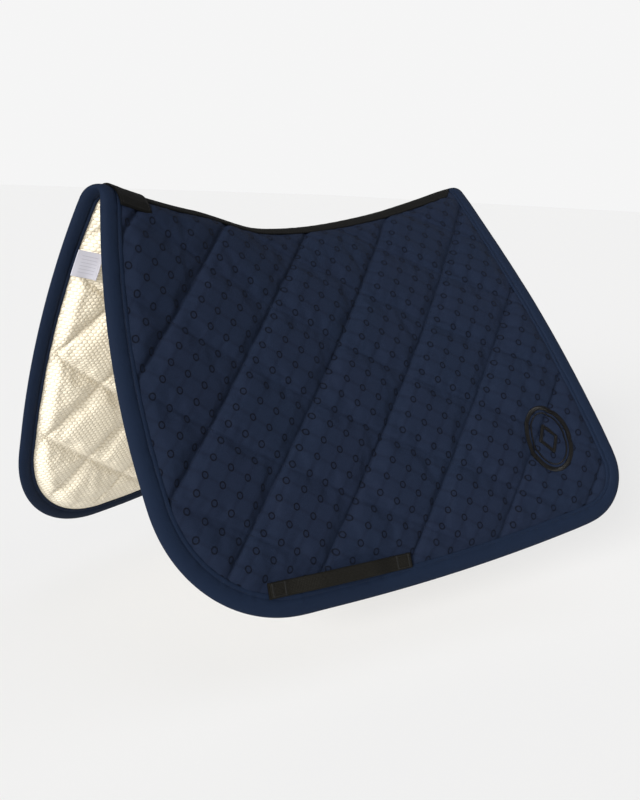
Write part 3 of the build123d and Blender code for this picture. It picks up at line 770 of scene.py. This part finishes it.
def lining_material():
    m, nt, b = material("cream_air_mesh"); g = G(nt)
    x, y = g.uv(700.0)
    # honeycomb knit: small raised cells in rows, every other row shifted by half a cell
    px, py = 6.0, 3.9
    row = g.math("DIVIDE", y, py)
    ri = g.math("FLOOR", row); rf = g.math("SUBTRACT", g.math("SUBTRACT", row, ri), 0.5)
    shift = g.math("MULTIPLY", g.math("MODULO", ri, 2.0), 0.5)
    col = g.math("ADD", g.math("DIVIDE", x, px), shift)
    cf = g.math("SUBTRACT", g.math("FRACT", col), 0.5)
    qx = g.math("MULTIPLY", cf, 2.0); qy = g.math("MULTIPLY", rf, 1.95)
    rr = g.math("ADD", g.math("MULTIPLY", qx, qx), g.math("MULTIPLY", qy, qy))
    dome = g.math("SQRT", g.math("MAXIMUM", g.math("SUBTRACT", 1.0, rr), 0.0))
    P = g.comb(x, y)
    slow = g.noise(P, 0.015, 3, 0.5); fine = g.noise(P, 1.2, 4, 0.7)
    ground = g.mix(g.math("MULTIPLY", slow, 0.5), (0.80, 0.735, 0.60, 1), (0.75, 0.675, 0.53, 1))
    ground = g.mix(g.math("MULTIPLY", fine, 0.25), ground, (0.86, 0.80, 0.68, 1))
    # painted shade: the grooves between the raised cells are coloured dark brown
    groove_shade = g.math("SUBTRACT", 1.0, g.math("MULTIPLY", dome, 2.3), clamp=True)
    c = g.mix(g.math("MULTIPLY", groove_shade, 0.42), ground, (0.46, 0.385, 0.265, 1))
    nt.links.new(c, b.inputs["Base Color"])
    bn = g.bump(dome, 0.0011, 0.7)
    bn = g.bump(g.noise(P, 0.9, 3, 0.6), 0.0003, 0.4, bn)
    nt.links.new(bn, b.inputs["Normal"])
    nt.links.new(g.math("ADD", 0.72, g.math("MULTIPLY", fine, 0.15)), b.inputs["Roughness"])
    b.inputs["Specular IOR Level"].default_value = 0.10
    b.inputs["Sheen Weight"].default_value = 0.02
    b.inputs["Sheen Roughness"].default_value = 0.5
    return m


def webbing_material(name, scale, c0, c1, pitch=1.5):
    m, nt, b = material(name); g = G(nt)
    x, y = g.uv(scale)
    w = weave(g, x, y, pitch)
    P = g.comb(x, y)
    fine = g.noise(P, 1.4, 3, 0.6)
    # painted shade and highlight: the raised threads of the weave are coloured lighter and the gaps between them darker
    c = g.mix(g.math("MULTIPLY", g.math("MULTIPLY", w, fine), 1.3, clamp=True), (*c0, 1), (*c1, 1))
    nt.links.new(c, b.inputs["Base Color"])
    bn = g.bump(w, 0.00045, 0.85)
    bn = g.bump(g.noise(P, 0.25, 3, 0.5), 0.0009, 0.3, bn)
    nt.links.new(bn, b.inputs["Normal"])
    nt.links.new(g.math("ADD", 0.50, g.math("MULTIPLY", fine, 0.2)), b.inputs["Roughness"])
    b.inputs["Specular IOR Level"].default_value = 0.09
    return m


def mesh_strip_material():
    m, nt, b = material("black_spacer_mesh"); g = G(nt)
    x, y = g.uv(620.0)
    px, py = 3.0, 2.2
    row = g.math("DIVIDE", y, py); ri = g.math("FLOOR", row)
    rf = g.math("SUBTRACT", g.math("SUBTRACT", row, ri), 0.5)
    col = g.math("ADD", g.math("DIVIDE", x, px), g.math("MULTIPLY", g.math("MODULO", ri, 2.0), 0.5))
    cf = g.math("SUBTRACT", g.math("FRACT", col), 0.5)
    rr = g.math("SQRT", g.math("ADD", g.math("MULTIPLY", g.math("MULTIPLY", cf, 2.2), g.math("MULTIPLY", cf, 2.2)), g.math("MULTIPLY", g.math("MULTIPLY", rf, 2.0), g.math("MULTIPLY", rf, 2.0))))
    eye = g.math("SUBTRACT", 1.0, g.math("DIVIDE", rr, 0.85), clamp=True)
    P = g.comb(x, y); fine = g.noise(P, 1.8, 3, 0.6)
    # painted shade: the sunken eyes of the mesh are coloured near black
    c = g.mix(g.math("MULTIPLY", eye, 1.6, clamp=True), (0.0052, 0.0052, 0.0050, 1), (0.0008, 0.0008, 0.0008, 1))
    c = g.mix(g.math("MULTIPLY", fine, 0.3), c, (0.0085, 0.0082, 0.0078, 1))
    nt.links.new(c, b.inputs["Base Color"])
    nt.links.new(g.bump(g.math("MULTIPLY", eye, -1.0), 0.0009, 0.95), b.inputs["Normal"])
    nt.links.new(g.math("ADD", 0.55, g.math("MULTIPLY", fine, 0.2)), b.inputs["Roughness"])
    b.inputs["Specular IOR Level"].default_value = 0.06
    return m


def thread_material(name, c0, c1, rough=0.42):
    m, nt, b = material(name); g = G(nt)
    P = g.obj()
    n = g.noise(P, 900.0, 2, 0.5); s = g.noise(P, 25.0, 2, 0.5)
    nt.links.new(g.mix(g.math("MULTIPLY", n, g.math("ADD", 0.6, s)), (*c0, 1), (*c1, 1)), b.inputs["Base Color"])
    nt.links.new(g.math("ADD", rough, g.math("MULTIPLY", n, 0.2)), b.inputs["Roughness"])
    nt.links.new(g.bump(n, 0.0001, 0.5), b.inputs["Normal"])
    b.inputs["Specular IOR Level"].default_value = 0.12
    return m


def satin_material():
    """Satin stitch: fine parallel threads that run across each stroke."""
    m, nt, b = material("black_satin_stitch"); g = G(nt)
    x, y = g.uv(400.0)
    th = g.math("SINE", g.math("MULTIPLY", x, 2 * math.pi / 0.62))
    P = g.comb(x, y); fine = g.noise(P, 2.2, 3, 0.6)
    # painted highlight: each satin thread is coloured lighter along its crest, unevenly
    k = g.math("MULTIPLY", g.math("ADD", g.math("MULTIPLY", th, 0.5), 0.5), fine)
    nt.links.new(g.mix(k, (0.0006, 0.0006, 0.0007, 1), (0.0045, 0.0041, 0.0036, 1)), b.inputs["Base Color"])
    nt.links.new(g.bump(th, 0.0002, 0.7), b.inputs["Normal"])
    nt.links.new(g.math("ADD", 0.28, g.math("MULTIPLY", fine, 0.2)), b.inputs["Roughness"])
    b.inputs["Anisotropic"].default_value = 0.4
    b.inputs["Specular IOR Level"].default_value = 0.16
    return m


def label_material():
    m, nt, b = material("white_satin_label"); g = G(nt)
    x, y = g.uv(60.0)
    P = g.comb(x, y); fine = g.noise(P, 2.5, 3, 0.6)
    base = g.mix(g.math("MULTIPLY", fine, 0.5), (0.46, 0.46, 0.52, 1), (0.40, 0.40, 0.47, 1))
    # a few plain grey rules, no lettering
    ln = g.math("ABSOLUTE", g.math("SUBTRACT", g.math("FRACT", g.math("DIVIDE", y, 3.6)), 0.5))
    rule = g.math("LESS_THAN", ln, 0.085)
    inx = g.math("MULTIPLY", g.math("GREATER_THAN", x, 6.0), g.math("LESS_THAN", x, 23.5))
    iny = g.math("MULTIPLY", g.math("GREATER_THAN", y, 4.5), g.math("LESS_THAN", y, 25.0))
    k = g.math("MULTIPLY", g.math("MULTIPLY", rule, g.math("MULTIPLY", inx, iny)), 0.5)
    nt.links.new(g.mix(k, base, (0.18, 0.18, 0.24, 1)), b.inputs["Base Color"])
    th = g.math("SINE", g.math("MULTIPLY", y, 2 * math.pi / 0.5))
    nt.links.new(g.bump(th, 0.00005, 0.5), b.inputs["Normal"])
    nt.links.new(g.math("ADD", 0.36, g.math("MULTIPLY", fine, 0.15)), b.inputs["Roughness"])
    b.inputs["Sheen Weight"].default_value = 0.1
    return m


MAT = {
    "shell": shell_material(), "binding": binding_material(), "lining": lining_material(),
    "strip": mesh_strip_material(),
    "webbing": webbing_material("olive_black_webbing", 400.0, (0.0018, 0.0017, 0.0014), (0.0105, 0.0095, 0.0068)),
    "strap": webbing_material("black_strap_webbing", 620.0, (0.0007, 0.0007, 0.0006), (0.0040, 0.0038, 0.0033), 1.3),
    "navy_thread": thread_material("navy_thread", (0.0020, 0.0032, 0.0075), (0.0085, 0.0130, 0.0290)),
    "black_thread": thread_material("black_thread", (0.002, 0.002, 0.002), (0.016, 0.016, 0.015)),
    "cream_thread": thread_material("cream_thread", (0.42, 0.37, 0.28), (0.70, 0.63, 0.50), 0.6),
    "satin": satin_material(), "label": label_material(),
}


def use(ob, key):
    ob.data.materials.clear(); ob.data.materials.append(MAT[key]); return ob


def bends(ob):
    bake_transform(ob)


SEAM_A, SEAM_B, H_OUT = 2.7, 0.55, 3.5
made = {}
outer_left = use(quilted_face("left_outer_fabric", True, H_OUT, SEAM_A, SEAM_B, 1), "shell")
lining_left = use(quilted_face("left_mesh_lining", False, 4.2, 2.3, 2.1, 5), "lining")
qs_left = use(quilt_stitches("left_quilt_stitching", True, SEAM_A, SEAM_B), "navy_thread")
ls_left = use(quilt_stitches("left_lining_stitching", False, 2.3, 2.1), "cream_thread")
bind_left = use(binding("left_binding", 11), "binding")
bs_left = use(binding_stitches("left_binding_stitching"), "navy_thread")
use_lines(RIGHT_LINES)
for maker, key, name in ((lambda n: quilted_face(n, True, H_OUT, SEAM_A, SEAM_B, 21), "shell", "right_outer_fabric"),
                         (lambda n: quilted_face(n, False, 4.2, 2.3, 2.1, 25), "lining", "right_mesh_lining"),
                         (lambda n: quilt_stitches(n, True, SEAM_A, SEAM_B), "navy_thread", "right_quilt_stitching"),
                         (lambda n: quilt_stitches(n, False, 2.3, 2.1), "cream_thread", "right_lining_stitching")):
    tmp = maker(name + "_near")
    use(mirrored(tmp, name), key)
    bpy.data.objects.remove(tmp)
use_lines(LEFT_LINES)
bind_right = mirrored(bind_left, "right_binding")
bs_right = mirrored(bs_left, "right_binding_stitching")

for side, flap in (("left", "left_flap"), ("right", "right_flap")):
    shell = bpy.data.objects[f"{side}_outer_fabric"]; lin = bpy.data.objects[f"{side}_mesh_lining"]
    bnd = bpy.data.objects[f"{side}_binding"]
    for ob in (shell, lin, bnd, bpy.data.objects[f"{side}_quilt_stitching"], bpy.data.objects[f"{side}_lining_stitching"], bpy.data.objects[f"{side}_binding_stitching"]):
        bends(ob)
    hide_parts(f"{side}_outer_shell", f"{side}_upper_shell", f"{side}_foam_core", f"{side}_upper_foam")
    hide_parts(f"{side}_lining", f"{side}_upper_lining")
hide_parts("left_edge_binding", "front_arch_binding")
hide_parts("right_edge_binding", "rear_arch_binding")

# ---- spine strip, inner tape and withers strap
def strip_taper(u):
    return np.where(u > S - 34, np.clip((S - 12 - u) / 22.0, 0.12, 1.0), 1.0)

us = np.arange(30.0, S - 13, 2.5)
strip = use(across_ridge("spine_mesh_band", us, 15.0, 0.35, -1.35, n_v=25, taper=strip_taper, crown=0.25, ripple=0.12, seed=9), "strip")
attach(strip, "spine"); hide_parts("spine_mesh_strip")
tape = use(across_ridge("inner_seam_tape", np.arange(12.0, S - 12, 3.0), 9.0, THICK + 1.7, THICK + 0.2, n_v=15), "strip")
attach(tape, "spine"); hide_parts("inner_spine_tape")
strap = use(across_ridge("withers_webbing", np.linspace(11.5, 48.0, 21), 31.0, -1.0, -3.1, n_v=41, crown=0.3, ripple=0.16, seed=12), "strap")
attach(strap, "spine"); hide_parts("withers_strap")

C, D, N = [], [], []
for v0 in (13.2,):
    for sd in (1, -1):
        uu = np.linspace(50, S - 36, 400)
        c, d, n = line_stitches(np.stack([uu, v0 - z0(uu)], -1), -1.05, 3.2)
        for arr in (c, d, n): arr[:, 1] *= sd
        C.append(c); D.append(d); N.append(n)
strip_st = use(stitch_mesh("spine_band_stitching", np.concatenate(C), np.concatenate(D), np.concatenate(N), 2.6e-3, 0.7e-3, 0.6e-3), "black_thread")
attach(strip_st, "spine")
C, D, N = [], [], []
for sd in (1, -1):
    for path in ([(15.0, 28.2), (45.5, 28.2)], [(15.0, 20.5), (45.5, 20.5)], [(15.0, 28.2), (15.0, 4.0)], [(45.5, 28.2), (45.5, 4.0)]):
        (ua, va), (ub, vb) = path
        k = np.linspace(0, 1, 60); uu = ua + (ub - ua) * k; vv = va + (vb - va) * k
        c, d, n = line_stitches(np.stack([uu, vv - z0(uu)], -1), -3.35, 2.6)
        for arr in (c, d, n): arr[:, 1] *= sd
        C.append(c); D.append(d); N.append(n)
strap_st = use(stitch_mesh("withers_strap_stitching", np.concatenate(C), np.concatenate(D), np.concatenate(N), 2.1e-3, 0.65e-3, 0.55e-3), "black_thread")
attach(strap_st, "spine")

# ---- girth loop: two sewn tabs and a bowed middle
LU0, LW0, LU1, LW1 = 80.0, 441.0, 252.0, 458.0
LH = 8.1
def loop_path(n=121):
    k = np.linspace(0, 1, n)
    return np.stack([LU0 + (LU1 - LU0) * k, LW0 + (LW1 - LW0) * k], -1), k


p, k = loop_path()
length = math.hypot(LU1 - LU0, LW1 - LW0)
s = k * length
tab = 21.0
mid = smooth((s - tab) / 34) * smooth((length - tab - s) / 34)
bow = 9.3 * mid * (0.93 + 0.07 * np.cos((k - 0.45) * 7))
base_lift = 2.3
loop = use(band("left_girth_keeper", p, LH, 1.7, base_lift + bow, cross=11, wave=0.18), "webbing")
tabs = []
for i, (a, b2) in enumerate(((-0.6, tab - 1.0), (length - tab + 1.0, length + 0.6))):
    kk = np.linspace(a, b2, 15) / length
    q = np.stack([LU0 + (LU1 - LU0) * kk, LW0 + (LW1 - LW0) * kk], -1)
    tabs.append(use(band(f"tab{i}", q, LH + 0.15, 1.35, base_lift - 1.35, cross=11, wave=0.1), "webbing"))
bpy.ops.object.select_all(action="DESELECT")
for o in tabs + [loop]: o.select_set(True)
bpy.context.view_layer.objects.active = loop
bpy.ops.object.join()
C, D, N = [], [], []
for s0 in (3.2, tab - 3.2, length - tab + 3.2, length - 3.2):
    for r in np.linspace(-6.6, 6.6, 19):
        for off, tilt in ((-0.2, 0.5), (0.2, -0.5)):
            kk = (s0 + off) / length
            tdir = np.array([LU1 - LU0, LW1 - LW0]) / length; nrm = np.array([-tdir[1], tdir[0]])
            cen = np.array([LU0, LW0]) + tdir * (s0 + off) + nrm * (r + off * 0.8)
            a = cen - tdir * 1.2 - nrm * tilt * 0.35; b2 = cen + tdir * 1.2 + nrm * tilt * 0.35
            dep = -(base_lift + 1.7 + 0.12)
            c0 = surf(*cen, dep); C.append(c0); D.append(surf(*b2, dep) - surf(*a, dep)); N.append(surf(*cen, dep - 1) - c0)
    # the sewn box between the tacks
for (sa, sb) in ((3.2, tab - 3.2), (length - tab + 3.2, length - 3.2)):
    for off in (-6.4, 6.4):
        for ss in np.arange(sa + 1.4, sb - 1.0, 2.3):
            tdir = np.array([LU1 - LU0, LW1 - LW0]) / length; nrm = np.array([-tdir[1], tdir[0]])
            cen = np.array([LU0, LW0]) + tdir * ss + nrm * off
            dep = -(base_lift + 1.7 + 0.08)
            c0 = surf(*cen, dep); C.append(c0); D.append(surf(*(cen + tdir), dep) - c0); N.append(surf(*cen, dep - 1) - c0)
tack = use(stitch_mesh("left_keeper_bartacks", np.array(C), np.array(D), np.array(N), 2.2e-3, 0.62e-3, 0.6e-3), "black_thread")

# ---- embroidered emblem: a plain oval of satin stitch round a small lozenge
EU, EW, EA, EB = 481.0, 378.0, 31.0, 42.0
def stroke(name, pts, width, height, closed, rows=9):
    """A raised band of satin stitch along a panel polyline."""
    p = np.asarray(pts, float); n = len(p)
    if closed:
        t = np.roll(p, -1, axis=0) - np.roll(p, 1, axis=0)
    else:
        t = np.gradient(p, axis=0)
    t /= np.linalg.norm(t, axis=1)[:, None]; nr = np.stack([-t[:, 1], t[:, 0]], -1)
    seg = np.r_[0, np.cumsum(np.hypot(*np.diff(p, axis=0).T))]
    a = np.linspace(0, np.pi, rows)
    prof = [(math.cos(x), math.sin(x) ** 0.75) for x in a] + [(-1.0, -0.6), (1.0, -0.6)]
    m = len(prof); V = np.empty((n, m, 3)); UV = np.empty((n, m, 2))
    jag = rng.normal(0, 0.10, (n, 2))
    surf_d = 0.2
    _, da, db, _, _ = seam_profile(p, H_OUT, SEAM_A, SEAM_B, 1, 0.40)
    for j, (x, h) in enumerate(prof):
        q = p + nr * (x * width / 2 + (jag[:, 0:1] if x > 0 else jag[:, 1:2]) * abs(x))
        prof_d = seam_profile(q, H_OUT, SEAM_A, SEAM_B, 1, 0.40)[0]
        V[:, j] = surf(q[:, 0], q[:, 1], np.minimum(prof_d, 0.4) - 0.55 - h * height)
        UV[:, j, 0] = seg / 400; UV[:, j, 1] = j * 0.6 / 400
    faces = grid_faces(n, m, close_v=True)
    if closed:
        faces += [((n - 1) * m + j, (n - 1) * m + (j + 1) % m, (j + 1) % m, j) for j in range(m)]
    else:
        faces.append(tuple(range(m))); faces.append(tuple((n - 1) * m + j for j in range(m))[::-1])
    ob = new_mesh(name, V.reshape(-1, 3), faces, UV.reshape(-1, 2))
    bm = bmesh.new(); bm.from_mesh(ob.data); bmesh.ops.recalc_face_normals(bm, faces=bm.faces); bm.to_mesh(ob.data); bm.free()
    return ob


a = np.linspace(0, 2 * np.pi, 361)[:-1]
parts = [stroke("left_oval_emblem", np.stack([EU + (EA - 2.8) * np.cos(a), EW + (EB - 2.8) * np.sin(a)], -1), 5.2, 1.0, True),
         stroke("e2", np.stack([EU + (EA - 9.2) * np.cos(a), EW + (EB - 9.2) * np.sin(a)], -1), 1.6, 0.6, True)]
dz = []
for i in range(4):
    c0, c1 = [(0, -17), (11, 0), (0, 17), (-11, 0)][i], [(11, 0), (0, 17), (-11, 0), (0, -17)][i]
    kk = np.linspace(0, 1, 30)[:-1]
    dz += [(EU + c0[0] + (c1[0] - c0[0]) * q, EW + c0[1] + (c1[1] - c0[1]) * q) for q in kk]
parts.append(stroke("e3", dz, 3.6, 0.9, True))
for o in parts: use(o, "satin")
bpy.ops.object.select_all(action="DESELECT")
for o in parts: o.select_set(True)
bpy.context.view_layer.objects.active = parts[0]
bpy.ops.object.join()
emblem = parts[0]

loop_r = mirrored(loop, "right_girth_keeper"); tack_r = mirrored(tack, "right_keeper_bartacks"); emblem_r = mirrored(emblem, "right_oval_emblem")
for side, flap, lo, ta, em in (("left", "left_flap", loop, tack, emblem), ("right", "right_flap", loop_r, tack_r, emblem_r)):
    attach(lo, flap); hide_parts(f"{side}_girth_loop")
    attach(ta, flap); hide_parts(f"{side}_loop_bartacks")
    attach(em, flap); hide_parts(f"{side}_emblem")

# ---- care label: a small satin tab, sewn at its front edge over the right binding
lo_, hi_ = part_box("care_label")
joint = [j for j in frame["joints"] if j["name"] == "care_label_hinge"][0]
hinge = np.array(joint["pos_m"]); ax = np.array(joint["axis"]); ax /= np.linalg.norm(ax)
out = np.array([-0.99697, 0.01161, -0.07691]); nrm = np.array([0.03669, 0.94210, -0.33332])
out -= ax * (out @ ax); out /= np.linalg.norm(out)
nrm = np.cross(ax, out); nrm /= np.linalg.norm(nrm)
if nrm[1] < 0: nrm = -nrm
LWd, LHt = 0.028, 0.029
nx, ny = 41, 41
V, UV = [], []
for top in (1, 0):
    for i in range(nx):
        x = i / (nx - 1)
        for j in range(ny):
            y = j / (ny - 1) - 0.5
            lift = 0.0004 + LWd * x * 0.10 + 0.0022 * x * x + 0.0006 * math.sin(y * 4.2 + 0.7) * x + 0.0005 * math.sin(x * 7) * (y + 0.4)
            V.append(hinge + out * (x * LWd) + ax * (y * LHt) + nrm * (lift + (0.00028 if top else 0)))
            UV.append((x * 28 / 60 + (0 if top else 0.5), (y + 0.5) * 29 / 60))
F = grid_faces(nx, ny); o2 = nx * ny
F += [tuple(q + o2 for q in f)[::-1] for f in grid_faces(nx, ny)]
for i in range(nx - 1):
    F.append((i * ny, (i + 1) * ny, (i + 1) * ny + o2, i * ny + o2)); F.append((i * ny + ny - 1, i * ny + ny - 1 + o2, (i + 1) * ny + ny - 1 + o2, (i + 1) * ny + ny - 1))
for j in range(ny - 1):
    F.append((j, j + o2, j + 1 + o2, j + 1)); b_ = (nx - 1) * ny; F.append((b_ + j, b_ + j + 1, b_ + j + 1 + o2, b_ + j + o2))
label = use(new_mesh("satin_care_tab", V, F, UV), "label")
bm = bmesh.new(); bm.from_mesh(label.data); bmesh.ops.recalc_face_normals(bm, faces=bm.faces); bm.to_mesh(label.data); bm.free()
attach(label, "care_label"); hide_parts("care_label")

# ================================================================== floor, light and camera
FLOOR_ALBEDO, FLOOR_GLOW, SKY, BACKDROP = 0.26, 0.610, 0.30, 0.915
lowest = min(float(coords(bind_left)[:, 2].min()), cad_box[0][2])
bpy.ops.mesh.primitive_plane_add(size=60, location=(0, 0, lowest - 0.075))
floor = bpy.context.object; floor.name = "floor"
fm, fnt, fb = material("pale_floor")
fb.inputs["Base Color"].default_value = (FLOOR_ALBEDO, FLOOR_ALBEDO, FLOOR_ALBEDO, 1)
fb.inputs["Roughness"].default_value = 1.0
fb.inputs["Specular IOR Level"].default_value = 0.0
fb.inputs["Emission Color"].default_value = (1, 1, 1, 1)
fb.inputs["Emission Strength"].default_value = FLOOR_GLOW
floor.data.materials.append(fm)

# the camera sees a plain pale backdrop; the pad is lit by a dimmer sky of the same colour
world = bpy.data.worlds.new("studio"); bpy.context.scene.world = world
world.use_nodes = True
wn = world.node_tree
bg = wn.nodes["Background"]; bg.inputs[0].default_value = (1, 1, 1, 1)
lp = wn.nodes.new("ShaderNodeLightPath")
mr = wn.nodes.new("ShaderNodeMapRange"); wn.links.new(lp.outputs["Is Camera Ray"], mr.inputs[0])
mr.inputs[3].default_value = SKY; mr.inputs[4].default_value = BACKDROP
wn.links.new(mr.outputs[0], bg.inputs[1])

beta, eps, roll = math.radians(45.03), math.radians(12.33), math.radians(2.49)
back = np.array([math.sin(beta) * math.cos(eps), math.cos(beta) * math.cos(eps), math.sin(eps)])
fwd = -back
right = np.cross(fwd, [0, 0, 1.0]); right /= np.linalg.norm(right)
up = np.cross(right, fwd)
right, up = right * math.cos(roll) + up * math.sin(roll), -right * math.sin(roll) + up * math.cos(roll)
target = np.array([0, 0.03981, -0.24818 + 0.0525 + 0.0082])
cam_data = bpy.data.cameras.new("camera"); cam = bpy.data.objects.new("camera", cam_data)
bpy.context.scene.collection.objects.link(cam)
M = Matrix.Identity(4)
for i in range(3):
    M[i][0], M[i][1], M[i][2] = right[i], up[i], back[i]
    M[i][3] = float(target[i] + back[i] * 1.20549)
cam.matrix_world = M
cam_data.sensor_width = 36.0; cam_data.lens = 994.78 / 800 * 36.0
cam_data.clip_start = 0.01; cam_data.clip_end = 50
bpy.context.scene.camera = cam


def sun(name, direction, strength, angle, color=(1, 1, 1)):
    """A soft distant light that comes from the given direction."""
    l = bpy.data.lights.new(name, "SUN"); l.energy = strength; l.angle = math.radians(angle); l.color = color
    o = bpy.data.objects.new(name, l); bpy.context.scene.collection.objects.link(o)
    o.rotation_euler = (-Vector(direction)).to_track_quat("-Z", "Y").to_euler()
    return o


sun("key", (0.88, 0.34, 0.30), 4.9, 20, (1.0, 0.99, 0.97))
sun("front", (0.74, 0.66, 0.04), 1.6, 60)
sun("top", (-0.15, 0.25, 1.0), 0.5, 60)
sun("rim", (-0.8, 0.1, 0.5), 0.3, 50)
bpy.context.scene.view_settings.view_transform = "Standard"

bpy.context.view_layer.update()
